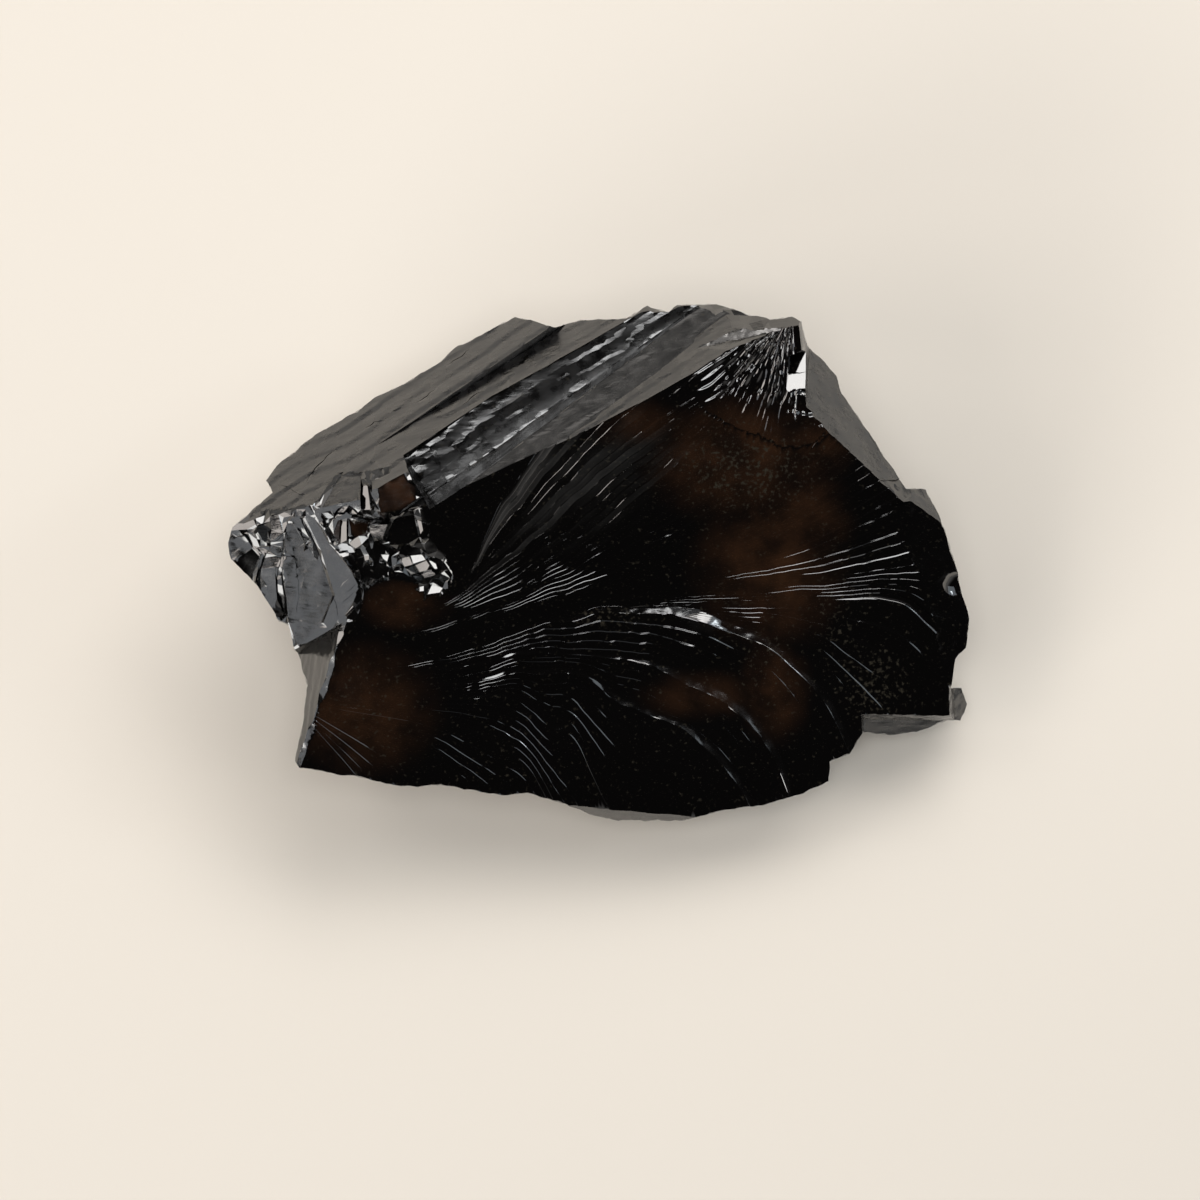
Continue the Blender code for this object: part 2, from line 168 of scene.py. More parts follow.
PLATE_PIECES = [
    ([(-31.2, 3.3), (-30.5, 4.2), (-29.5, 4.7), (-27.9, 1.4), (-27.3, -0.5), (-26.5, -3.1), (-27.7, -5.9),
      (-28.8, -6.9), (-30.1, -8.1), (-31.0, -5.8), (-31.2, -3.4), (-31.6, -0.2),
      (-31.3, 2.0)], 225, 19, 0.0, 0.55, 0.0),
    ([(-30.6, 4.5), (-29.9, 4.7), (-28.5, 2.2), (-27.8, 0.9), (-28.4, 0.8),
      (-29.2, 2.0)], 236, 17, 0.1, 0.4, 0.0),
    ([(-29.3, 4.8), (-28.4, 4.8), (-26.9, 2.2), (-24.7, -0.5), (-23.8, -2.3), (-24.4, -3.7), (-26.0, -5.6),
      (-27.5, -5.9), (-26.3, -3.1), (-27.1, -0.5), (-27.7, 1.5)], 216, 24, 0.1, 0.35, 0.0),
    ([(-32.8, 4.8), (-31.9, 5.0), (-31.4, 3.2), (-32.7, 2.2), (-32.6, 3.5)], 206, 25, 0.0, 0.3, 0.0),
    ([(-32.9, 1.4), (-32.7, 2.0), (-31.4, 2.3), (-31.5, 1.0), (-32.1, 0.9)], 212, 24, -0.1, 0.3, 0.0),
    ([(-33.7, -0.4), (-33.3, 0.7), (-31.9, 0.6), (-32.2, -0.2)], 209, 24, -0.1, 0.3, 0.0),
    ([(-33.9, -0.9), (-32.3, -0.6), (-32.3, -3.9), (-32.9, -3.2), (-33.1, -2.1)], 214, 25, -0.2, 0.3, 0.0),
    ([(-32.1, -0.7), (-31.8, -0.5), (-31.4, -3.4), (-31.4, -5.0), (-32.0, -3.1)], 232, 42, -0.2, 0.3, 0.0),
    ([(-37.0, 2.4), (-35.4, 2.8), (-34.6, 1.7), (-33.7, 0.7), (-34.5, -0.8), (-34.6, -1.9), (-35.9, -0.8),
      (-36.7, 0.4)], 268, 29, -0.1, 0.6, 0.0),
    ([(-35.4, 3.2), (-35.1, 3.3), (-34.4, 1.9), (-33.5, 0.8), (-34.2, -2.2), (-34.4, -2.1), (-33.7, 0.7),
      (-34.5, 1.8)], 200, 25, 0.0, 0.2, 0.0),
    ([(-35.4, 4.1), (-34.4, 4.5), (-34.2, 4.0), (-35.1, 3.5)], 198, 26, 0.0, 0.4, 0.0),
    ([(-34.2, 4.6), (-33.3, 4.9), (-33.5, 4.1), (-34.0, 4.0)], 75, 24, 0.0, 0.2, 0.0),
    ([(-34.1, 3.8), (-33.4, 4.0), (-33.0, 3.3), (-33.0, 2.4), (-33.6, 2.1),
      (-34.0, 3.0)], 20, 15, -0.3, 0.1, 0.0),
]
# The ground that each group of chips covers.
CHIP_GROUND = [
    (-28.5, 5.7), (-28.1, 4.7), (-26.9, 2.3), (-24.7, -0.6), (-23.6, -2.6), (-22.1, -1.7), (-20.7, -1.4),
    (-18.5, -1.8), (-18.1, -3.4), (-16.7, -3.8), (-15.1, -2.6), (-14.5, -1.2), (-15.1, 0.8), (-16.9, 2.7),
    (-16.7, 4.3), (-17.5, 5.5), (-16.7, 7.2), (-18.5, 9.2), (-19.9, 10.1), (-21.5, 9.6), (-23.6, 9.3),
    (-26.3, 9.2), (-27.9, 7.0),
]
PLATE_GROUND = [
    (-38.5, 2.4), (-37.2, 3.5), (-35.7, 4.8), (-33.2, 5.6), (-31.7, 5.8), (-30.8, 5.8), (-29.4, 6.2),
    (-28.1, 5.8), (-26.6, 2.4), (-23.2, -2.4), (-23.9, -5.0), (-26.0, -7.8), (-28.5, -9.6), (-30.5, -10.5),
    (-32.5, -9.0), (-33.2, -5.8), (-35.9, -3.4), (-38.5, -0.2),
]
# How deep and how steeply each ground sinks from its border, how many loose points lie between the
# named chips, and how uneven those are.
GROUPS = {
    "chips": (CHIPS, CHIP_GROUND, 0.8, 0.38, 560, 0.055),
    "plate": (PLATE_PIECES, PLATE_GROUND, 0.22, 0.35, 420, 0.05),
}
CHIP_FLOOR = ((-20.0, 2.0, 21.4), -95, 21)  # the chips' ground is no higher than this face
GROUND_STEP = 0.8
GROUND_RINGS = ((1.0, 0.03), (1.12, 1.5))  # how far out each ring is, and how high over the stone
GROUND_LOOK = (0.2, 0.0)  # how satin the ground between the chips is, and how much brown painted reflection it has
CHIP_GAP = 0.975
CHIP_MARGIN = 0.15
CHIP_SEED = 5
SATIN_UNEVEN = 0.6  # a fully satin chip is this uneven, where the ground between the chips is 1

# Cracks in each face: how wide and deep each is, and its path.
CRACKS = {
    "left_plate": [
        (0.16, 0.6, [(-33.3, 1.9), (-32.2, 2.3), (-31.3, 3.0), (-30.3, 3.7)]),
        (0.11, 0.5, [(-33.4, 0.9), (-32.2, 0.9), (-31.1, 0.8), (-29.6, 0.5)]),
        (0.14, 0.6, [(-31.2, 3.6), (-31.5, 2.0), (-31.7, 0.8), (-32.0, -0.5), (-32.1, -1.8),
          (-32.2, -3.6)]),
        (0.10, 0.5, [(-34.0, -0.7), (-32.9, -0.5), (-31.9, -0.3)]),
        (0.12, 0.5, [(-23.9, -1.6), (-24.7, -2.4), (-25.8, -3.2)]),
        (0.12, 0.5, [(-24.0, -2.3), (-24.9, -3.2), (-26.1, -4.2)]),
        (0.16, 0.5, [(-27.8, 1.5), (-27.2, -0.8), (-26.6, -2.6), (-26.1, -4.4), (-26.0, -6.0)]),
        (0.10, 0.4, [(-30.9, 3.2), (-30.3, 0.6), (-29.9, -2.0), (-30.2, -5.6)]),
        (0.08, 0.4, [(-29.0, -0.2), (-28.2, -1.6), (-28.6, -3.4)]),
    ],
    "slab_outer": [
        (0.13, 0.4, [(-26.0, 11.6), (-26.9, 11.0), (-27.5, 10.4), (-28.4, 9.5), (-29.1, 8.5),
          (-29.6, 7.6)]),
        (0.08, 0.4, [(-32.3, 8.0), (-31.0, 7.7), (-29.8, 6.9), (-28.6, 6.8)]),
        (0.10, 0.4, [(-23.6, 13.4), (-22.5, 14.2), (-21.7, 14.4)]),
        (0.10, 0.4, [(-18.6, 16.0), (-17.1, 16.9), (-16.2, 17.6)]),
        (0.09, 0.4, [(-15.4, 19.8), (-14.0, 20.6), (-12.9, 21.6)]),
        (0.09, 0.4, [(-20.9, 15.2), (-19.8, 15.6)]),
    ],
    "corner_glint": [
        (0.22, 0.5, [(17.8, 18.8), (19.0, 19.0), (20.6, 19.0)]),
    ],
    "slab_inner": [
        (0.10, 0.4, [(-13.6, 15.9), (-12.4, 16.9), (-11.5, 17.3)]),
        (0.09, 0.4, [(-8.2, 19.6), (-7.0, 20.9), (-6.2, 21.4)]),
    ],
}
CRACK_STEP = 0.25
CRACK_TOP = 0.5
CRACK_TAPER = 1.2
CRACK_SATIN = 0.3

# The small shell knocked out of the right edge: the middle and radius of the ball that fits it.
SHELL_BALL = ((36.1, -2.4, 15.0), 2.25)
SHELL_UNEVEN = 0.035

# ---- numbers that vary over a face


def scatter(i, j, seed):
    """A repeatable number from 0 to 1 for each cell of a lattice."""
    wave = np.sin(i * 127.1 + j * 311.7 + seed * 74.7) * 43758.5453
    return wave - np.floor(wave)


def noise(x, y, seed):
    """Smooth noise from -1 to 1 that varies over about one unit of x and y."""
    i, j = np.floor(x), np.floor(y)
    fx, fy = x - i, y - j
    fx, fy = fx * fx * (3 - 2 * fx), fy * fy * (3 - 2 * fy)
    low = scatter(i, j, seed) * (1 - fx) + scatter(i + 1, j, seed) * fx
    high = scatter(i, j + 1, seed) * (1 - fx) + scatter(i + 1, j + 1, seed) * fx
    return 2 * (low * (1 - fy) + high * fy) - 1


def rough(x, y, seed, octaves=4):
    """Noise with finer noise on top."""
    total = sum(noise(x * 2**k, y * 2**k, seed + k) / 2**k for k in range(octaves))
    return total / 2


def smooth(low, high, value):
    """An even rise from 0 at low to 1 at high."""
    t = np.clip((value - low) / (high - low), 0, 1)
    return t * t * (3 - 2 * t)


def saw(value, seed, along):
    """Tilted treads with a sudden step between them, each step strong in places and faint in others."""
    tread = np.floor(value)
    strength = 0.62 + 0.5 * noise(along + 17 * scatter(tread, 0, seed), tread * 3.7, seed)
    return (value - tread - 0.5) * strength


def curve_height(points, x):
    """The height in plan of a smooth line through the points, at each x."""
    px, py = np.array(points).T
    slope = np.gradient(py, px)
    i = np.clip(np.searchsorted(px, x) - 1, 0, len(px) - 2)
    width = px[i + 1] - px[i]
    t = np.clip((x - px[i]) / width, 0, 1)
    inside = (
        (2 * t**3 - 3 * t**2 + 1) * py[i]
        + (t**3 - 2 * t**2 + t) * width * slope[i]
        + (3 * t**2 - 2 * t**3) * py[i + 1]
        + (t**3 - t**2) * width * slope[i + 1]
    )
    return inside + np.minimum(x - px[0], 0) * slope[0] + np.maximum(x - px[-1], 0) * slope[-1]


# ---- the scars


def plane_height(face, x, y):
    """The height of a face's plane over a point."""
    (px, py, pz), azimuth, dip = face
    turn = math.radians(azimuth)
    return pz - ((x - px) * math.cos(turn) + (y - py) * math.sin(turn)) * math.tan(math.radians(dip))


def scar_plane(x, y):
    return plane_height(MAIN_SCAR, x, y)


def bowl(x, y):
    """How far the main scar is hollowed below its plane, in an oval around its middle."""
    across = ((x - 4.0) / 33.0) ** 2 + ((y + 3.0) / 20.0) ** 2
    return -2.0 * np.clip(1 - across, 0, 1) ** 2


def scar_rows():
    """The hackle number of each row of the main scar's vertices, with the rows beyond both ends."""
    inner = [k + share for k in range(sum(HACKLES)) for share in HACKLE_ROWS]
    before = [-k for k in range(ROWS_BEYOND, 0, -1)]
    after = [sum(HACKLES) + k for k in range(1, ROWS_BEYOND + 1)]
    return np.array(before + inner + after, dtype=float)


def row_lines(rows, x):
    """Each row's line in plan: between two flow lines, or evenly spaced beyond them."""
    lines = np.array([curve_height(points, x) for points in FLOW_LINES])
    starts = np.concatenate(([0], np.cumsum(HACKLES)))
    place = np.interp(rows, starts, np.arange(len(starts)))
    below = np.clip(place.astype(int), 0, len(lines) - 2)
    share = (place - below)[:, None]
    y = lines[below] * (1 - share) + lines[below + 1] * share
    beyond = np.minimum(rows, 0) + np.maximum(rows - starts[-1], 0)
    return y - beyond[:, None] * ROW_GAP_BEYOND, place


def ribs(x, y, place):
    """Waves between the crests: a long fall from each crest, then a short rise to the next. Also how
    near each point is to a rise, from 0 to 1, since the rises are worn and finely broken."""
    lines = [curve_height(points, x[0]) for points in FLOW_LINES[FIRST_CREST - 1 : LAST_CREST + 2]]
    gaps = [np.clip(above - below, *RISE_GAP) for above, below in zip(lines, lines[1:])]
    relief, worn = np.zeros_like(y), np.zeros_like(y)
    for k, gap in enumerate(gaps):
        share = place - (FIRST_CREST - 1 + k)
        here = (share >= 0) & (share < 1)
        if k > 0:
            height = crest(k - 1, x)[1]
            relief += np.where(here, height * np.clip(1 - share / 0.8, 0, 1) ** 1.3, 0)
        if k < len(gaps) - 1:
            width, height = crest(k, x)
            steep = np.clip(width / gap, 0.03, 0.8)
            climb = np.clip(1 - (1 - share) / steep, 0, 1)
            relief += np.where(here, height * (climb if k == 0 else smooth(0, 1, climb)), 0)
            worn += np.where(here, smooth(1.9, 0.9, (1 - share) / steep), 0)
    return relief, worn


def crest(k, x):
    """How wide and how high the rise to a crest is along its length."""
    line = 0 * x + 3 * k
    width = RISE_WIDTH * (1 + 0.6 * noise(x / 2.5, line, 9) + 0.8 * smooth(0, 14, x))
    slope = RISE_SLOPE * (1 + 0.40 * noise(x / 2.2, line, 12) + 0.3 * noise(x / 0.7, line, 13))
    if k == 0:
        centre, length, wider, steeper = BROAD_RISE
        here = np.exp(-(((x - centre) / length) ** 2))
        width, slope = width + wider * here, 0.7 * slope * (1 - here) + steeper * here
    return width, width * slope * smooth(-24, -8, x) * (1 - 0.4 * smooth(4, -6, x))


def main_scar_sheet():
    """The main scar: a bowl with ribs, and hackles that fan out from its left end.

    Its rows of vertices follow the hackles, so each step is a clean line."""
    x = np.arange(-SCAR_REACH, SCAR_REACH, COLUMN_STEP)
    rows = scar_rows()
    y, place = row_lines(rows, x)
    x = np.broadcast_to(x, y.shape)
    waver = smooth(-26, -6, x) * (1 - 0.5 * smooth(4, 12, x))
    y = y + waver * (0.28 * noise(x / 2.8, y / 2.2, 3) + 0.08 * noise(x / 0.8, y / 0.9, 4))
    y = np.minimum.accumulate(y, axis=0) - LEAST_ROW_GAP * np.arange(len(rows))[:, None]
    spacing = np.clip(-np.gradient(y, axis=0) / np.gradient(rows)[:, None], 0.02, 1.2)
    n = np.broadcast_to(rows[:, None], y.shape)
    place = np.broadcast_to(place[:, None], y.shape)
    inside = (n > 0) & (n < sum(HACKLES))
    clear = (0.28 + 0.72 * scatter(np.floor(n), 7, 5)) * smooth(0.10, 0.40, spacing)
    clear *= smooth(0, 3, n) * (1 - 0.4 * scatter(np.floor(n), 5, 19) * smooth(4, 12, x))
    clear *= 1 + 0.9 * smooth(21, 28, x) + 0.7 * smooth(16, 7, n)
    clear *= 1 - patches(CALM_PATCHES, x + 8 * (scatter(np.floor(n), 3, 18) - 0.5), y)
    waves, worn = ribs(x, y, place)
    clear *= 1 - 0.75 * worn
    steps = np.where(inside, -saw(n, 5, x / 8) * clear * spacing * HACKLE_SLOPE, 0)
    worn = worn * smooth(-4, 5, x) * (1 - np.exp(-(((x - 10) / 2.5) ** 2) - ((y + 4) / 2) ** 2))
    broken = worn * (0.05 * noise(x / 0.5, y / 0.4, 14) + 0.08 * noise(x / 1.1, y / 0.8, 15))
    waves *= smooth(-26, -23, y)
    z = scar_plane(x, y) + bowl(x, y) + steps + waves + broken + 0.05 * rough(x / 3, y / 3, 6)
    return x, y, z, 0.45 * worn


def corner_scar_sheet():
    """The corner scar: shallow, with bright spokes near the corner and low ripples to the right."""
    turns = np.arange(SPOKE_TURN[0] // SPOKE_DEGREES, SPOKE_TURN[1] // SPOKE_DEGREES)
    turns = np.array([k + share for k in turns for share in SPOKE_ROWS])[::-1]
    reach = np.arange(0.8, APEX_RADIUS * 1.45, 0.26)
    turn, reach = np.meshgrid(turns, reach, indexing="ij")
    bent = turn + 0.8 * noise(reach / 3.5, turn / 4, 24) * smooth(2, 9, reach)
    angle = np.radians(bent * SPOKE_DEGREES)
    x, y = APEX[0] + reach * np.cos(angle), APEX[1] + reach * np.sin(angle)
    degrees = turn * SPOKE_DEGREES
    edge = APEX_RADIUS * (1 + 0.10 * noise(turn / 5, 0 * turn, 25))
    depth = APEX_DEPTH * (1 - (reach / edge) ** 2)
    near = smooth(14.0, 10.0, reach + 2 * noise(turn / 2, reach / 3, 28)) * smooth(-82, -90, degrees)
    spoke = np.floor(turn)
    share = turn - spoke
    riser = np.clip(share / SPOKE_ROWS[1], 0, 1)
    fall = np.clip((share - SPOKE_ROWS[1]) / (1 - SPOKE_ROWS[1]), 0, 1)
    strength = np.clip(0.75 + 0.8 * noise(reach / 1.6 + 9 * scatter(spoke, 0, 22), spoke * 3.7, 22), 0, 1.5)
    width = np.radians(SPOKE_DEGREES) * reach * SPOKE_ROWS[1]
    spokes = strength * SPOKE_SLOPE * width * (riser - fall)
    broken = 0.16 * noise(reach / 0.6, turn / 0.7, 23) * smooth(11, 8, reach)
    arcs = -saw(reach / 1.7 + 0.25 * noise(degrees / 9, reach, 26), 27, degrees / 20) * 0.5
    to_right = smooth(-95, -84, degrees) * smooth(12.5, 11, reach) * smooth(6.5, 8, reach)
    z = scar_plane(x, y) + bowl(x, y) - depth + near * (spokes + broken) + to_right * arcs
    return x, y, z + 0.03 * rough(x, y, 29), 0 * x


# ---- meshes and cutters


def as_mesh(name, shape, unit=1):
    """A mesh from a shape whose lengths are in the given unit, in metres."""
    bmesh.ops.scale(shape, vec=(unit, unit, unit), verts=shape.verts)
    mesh = bpy.data.meshes.new(name)
    shape.to_mesh(mesh)
    shape.free()
    return mesh


def write(mesh, satin, warm_reflection=0.0, dust_and_glint=0.0, rounded=FACE):
    """Gives a mesh's vertices the values that the material and the shading read."""
    for name, values in zip(LAYERS, (satin, warm_reflection, dust_and_glint, rounded)):
        layer = mesh.attributes.new(name, "FLOAT", "POINT")
        values = np.zeros(len(mesh.vertices)) + values
        layer.data.foreach_set("value", np.ascontiguousarray(values, dtype=np.float32))


def read(items, name, kind, each=1):
    values = np.empty(len(items) * each, dtype=kind)
    items.foreach_get(name, values)
    return values


def linked(data):
    """An object of the data's name, in the scene."""
    obj = bpy.data.objects.new(data.name, data)
    bpy.context.scene.collection.objects.link(obj)
    return obj


def open_edges(shape):
    return [edge for edge in shape.edges if edge.is_boundary]


def close_above(shape, top):
    """Draws a sheet's rim up to a height, and closes the block there."""
    walls = bmesh.ops.extrude_edge_only(shape, edges=open_edges(shape))["geom"]
    for vert in (part for part in walls if isinstance(part, bmesh.types.BMVert)):
        vert.co.z = top
    bmesh.ops.edgeloop_fill(shape, edges=open_edges(shape))
    bmesh.ops.recalc_face_normals(shape, faces=shape.faces)


# ---- the chips


def surface_height(x, y):
    """The height of the unbroken surface over a point."""
    heights = [plane_height(WHOLE_FACES[name][0], x, y) for name in ("slab_outer", "left_plate")]
    return min(scar_plane(x, y) + bowl(x, y), *heights)


def sides(corners):
    return zip(corners, corners[1:] + corners[:1])


def around(corners, step):
    """Points along a polygon's sides, about a step apart."""
    for (ax, ay), (bx, by) in sides(corners):
        count = max(1, round(math.hypot(bx - ax, by - ay) / step))
        for k in range(count):
            yield ax + (bx - ax) * k / count, ay + (by - ay) * k / count


def inside_of(corners, x, y):
    """Whether a point is inside a polygon."""
    hits = 0
    for (ax, ay), (bx, by) in sides(corners):
        if (ay > y) != (by > y) and x < ax + (y - ay) / (by - ay) * (bx - ax):
            hits += 1
    return hits % 2 == 1


def away_from(corners, x, y):
    """The distance from a point to a polygon's nearest side."""
    nearest = CUTTER_REACH
    for (ax, ay), (bx, by) in sides(corners):
        run, rise = bx - ax, by - ay
        share = ((x - ax) * run + (y - ay) * rise) / (run * run + rise * rise)
        share = min(max(share, 0.0), 1.0)
        nearest = min(nearest, math.hypot(x - ax - share * run, y - ay - share * rise))
    return nearest


def chip_points(chips, ground, depth, sink, loose, uneven):
    """The named chips' corners, drawn in a little, then loose points, then rings around the ground."""

    def bottom(x, y):
        sunk = surface_height(x, y) - min(depth, sink * away_from(ground, x, y))
        return min(sunk, plane_height(CHIP_FLOOR, x, y)) if ground is CHIP_GROUND else sunk

    points, edges, values, faces = [], [], [], []
    for corners, azimuth, dip, lift, satin, warm_reflection in chips:
        cx, cy = (sum(axis) / len(corners) for axis in zip(*corners))
        face = ((cx, cy, bottom(cx, cy) + lift * depth), azimuth, dip)
        faces.append(face)
        first = len(points)
        for k, (x, y) in enumerate(corners):
            x, y = cx + (x - cx) * CHIP_GAP, cy + (y - cy) * CHIP_GAP
            points.append((x, y, plane_height(face, x, y)))
            edges.append((first + k, first + (k + 1) % len(corners)))
            values.append((satin, warm_reflection))
    chance = random.Random(CHIP_SEED)
    lows, highs = (tuple(limit(axis) for axis in zip(*ground)) for limit in (min, max))
    while len(points) < len(edges) + loose:
        x, y = chance.uniform(lows[0], highs[0]), chance.uniform(lows[1], highs[1])
        if inside_of(ground, x, y):
            lift = chance.uniform(-uneven, uneven)
            chip = next((k for k, (corners, *_) in enumerate(chips) if inside_of(corners, x, y)), None)
            if chip is None:
                points.append((x, y, bottom(x, y) + lift))
                values.append(GROUND_LOOK)
            elif away_from(chips[chip][0], x, y) > CHIP_MARGIN:
                satin, warm_reflection = chips[chip][4:]
                points.append((x, y, plane_height(faces[chip], x, y) + SATIN_UNEVEN * satin * lift))
                values.append((satin, warm_reflection))
    cx, cy = (sum(axis) / len(ground) for axis in zip(*ground))
    for x, y in around(ground, GROUND_STEP):
        for spread_out, lift in GROUND_RINGS:
            px, py = cx + (x - cx) * spread_out, cy + (y - cy) * spread_out
            points.append((px, py, surface_height(px, py) + lift))
            values.append(GROUND_LOOK)
    return points, edges, values


def chip_block(name, *group):
    """A closed block over a group of chips, whose facets have straight edges."""
    points, edges, values = chip_points(*group)
    plan = [Vector(point[:2]) for point in points]
    places, _, triangles, sources, _, _ = delaunay_2d_cdt(plan, edges, [], 0, 1e-6)
    shape = bmesh.new()
    for layer in LAYERS:
        shape.verts.layers.float.new(layer)
    satin, warm_reflection, rounded = (shape.verts.layers.float[layer] for layer in ("satin", "warm_reflection", "round"))
    verts = []
    for (x, y), source in zip(places, sources):
        verts.append(shape.verts.new((x, y, points[source[0]][2] if source else surface_height(x, y))))
        verts[-1][satin], verts[-1][warm_reflection] = values[source[0]] if source else GROUND_LOOK
        verts[-1][rounded] = CRUSHED
    for triangle in triangles:
        shape.faces.new([verts[k] for k in triangle])
    close_above(shape, CUTTER_REACH)
    return linked(as_mesh(name, shape, MM))


def crack_wedge(name, face, width, depth, path):
    """A thin wedge along a crack, wider where the crack is deeper, and ending in nothing."""
    path = np.array(path)
    along = np.concatenate(([0], np.cumsum(np.hypot(*np.diff(path, axis=0).T))))
    stops = np.linspace(0, along[-1], max(5, round(along[-1] / CRACK_STEP)))
    x, y = (np.interp(stops, along, axis) for axis in path.T)
    out = np.column_stack((-np.gradient(y), np.gradient(x)))
    out /= np.hypot(*out.T)[:, None]
    plan = np.column_stack((x, y)) + out * (0.10 * noise(stops / 0.5, x, 95))[:, None]
    share = np.minimum(1, np.minimum(stops, stops[-1] - stops) / CRACK_TAPER)
    share *= 0.75 + 0.25 * noise(stops / 0.6, y, 96)
    shape = bmesh.new()
    rows = []
    for (px, py), side, deep in zip(plan, out, share * depth):
        z = plane_height(face, px, py)
        hx, hy = side * width / 2 * (deep + CRACK_TOP) / depth
        top = z + CRACK_TOP
        corners = (px - hx, py - hy, top), (px + hx, py + hy, top), (px, py, z - deep)
        rows.append([shape.verts.new(corner) for corner in corners])
    for near, far in zip(rows, rows[1:]):
        for k in range(3):
            shape.faces.new((near[k], near[k - 1], far[k - 1], far[k]))
    shape.faces.new(rows[0])
    shape.faces.new(rows[-1])
    bmesh.ops.recalc_face_normals(shape, faces=shape.faces)
    mesh = as_mesh(name, shape, MM)
    write(mesh, CRACK_SATIN, rounded=CRUSHED)
    return linked(mesh)


def ball(name, middle, radius):
    """An uneven ball that leaves a small shell where it meets the stone."""
    shape = bmesh.new()
    place = Matrix.Translation(Vector(middle) * MM)
    bmesh.ops.create_icosphere(shape, subdivisions=4, radius=radius * MM, matrix=place)
    for vert in shape.verts:
        x, y, z = vert.co / MM
        vert.co += vert.normal * float(noise(x / 0.45, y / 0.45 + z, 97)) * SHELL_UNEVEN * MM
    mesh = as_mesh(name, shape)
    write(mesh, 0.0)
    return linked(mesh)


# ---- relief of the other faces


def slab_relief(u, v):
    """Satin slabs: fine lines along the strike and a few low steps."""
    lines = 0.020 * noise(u / 5, v / 0.4, 31)
    steps = 0.15 * saw(v / 2.3 + 0.6 * noise(u / 7, 0 * v, 33), 34, u / 7)
    return lines + steps + 0.10 * rough(u / 7, v / 7, 35)


def crumbly_relief(u, v):
    """Crushed rock: low ledges along the strike, and facets that each catch the light differently."""
    coarse = smooth(-0.5, 0.5, noise(u / 3.0, v / 1.3, 43))
    facets = 0.05 * (0.3 + 0.7 * coarse) * noise(u / 1.5, v / 0.42, 41)
    ledges = 0.15 * saw(v / 1.5 + 0.8 * noise(u / 4, 0 * v, 44), 45, u / 4)
    return facets + ledges + 0.30 * rough(u / 4.5, v / 1.5, 42, 2)


def jagged_relief(u, v):
    """A broken edge: larger facets."""
    return 0.34 * noise(u / 1.1, v / 1.1, 47) + 0.8 * rough(u / 5, v / 5, 48, 2)


def edge_relief(u, v):
    """The thin right edge: hackles that run out to it, and a few chips."""
    hackles = 0.10 * saw(u / 0.75 + 0.8 * noise(u / 3, v / 2, 57), 58, v / 3)
    return hackles + 0.22 * rough(u / 3, v / 3, 59)


def strip_relief(u, v):
    return 0.035 * noise(u / 4, v / 0.5, 51) + 0.08 * rough(u / 5, v / 2.5, 52)


def streaky_relief(u, v):
    """A torn strip: deep streaks along its length."""
    return 0.11 * noise(u / 5, v / 0.5, 53) + 0.05 * noise(u / 1.5, v / 0.3, 54) + strip_relief(u, v)


def crinkled_relief(u, v):
    return 0.06 * noise(u / 0.5, v / 0.5, 55) + 0.05 * noise(u / 1.5, v / 1.0, 56)


def plate_relief(u, v):
    """The cracked plate at the left tip: nearly flat, with fine grain."""
    return 0.024 * noise(u / 0.3, v / 4, 61) + 0.28 * rough(u / 3, v / 3, 62)


def bevel_relief(u, v):
    return 0.08 * rough(u / 2.5, v / 2.5, 71) + 0.012 * noise(u / 0.5, v / 0.5, 72)


def shell_relief(u, v):
    """A hidden side: shallow shells that meet at ridges, with ripples."""
    shells = 0.28 - 0.9 * np.abs(noise(u / 9, v / 6.5, 81) + 0.2 * noise(u / 3, v / 2.5, 85))
    ripple = 0.05 * np.sin(np.hypot(u - 6, v + 14) * 2.4 + 2 * noise(u / 5, v / 5, 83))
    return shells + ripple + 0.06 * rough(u / 0.9, v / 0.9, 84)


# ---- the faces
# Each has a face and a kind: its relief, the size of its cells, how satin it is from 0 to 1, how far
# the cells' corners are shaken on crushed rock, and how many times longer than high the cells are.

Kind = namedtuple("Kind", "relief cell satin jitter stretch", defaults=(0, 1))
SLAB = Kind(slab_relief, 0.3, 1.0)
CRUMBLY = Kind(crumbly_relief, 0.3, 0.95, 0.35, 2.4)
JAGGED = Kind(jagged_relief, 0.9, 0.5, 0.35)
EDGE = Kind(edge_relief, 0.3, 0.15)
CRINKLED = Kind(crinkled_relief, 0.3, 0.6, 0.3)
FLAT = Kind(crinkled_relief, 2.5, 0.0)
STRIP = Kind(strip_relief, 0.3, 0.6)
STREAKY = Kind(streaky_relief, 0.25, 0.5)
PLATE = Kind(plate_relief, 0.25, 0.35)
BEVEL = Kind(bevel_relief, 0.4, 0.9)
SHELL = Kind(shell_relief, 0.75, 0.25)

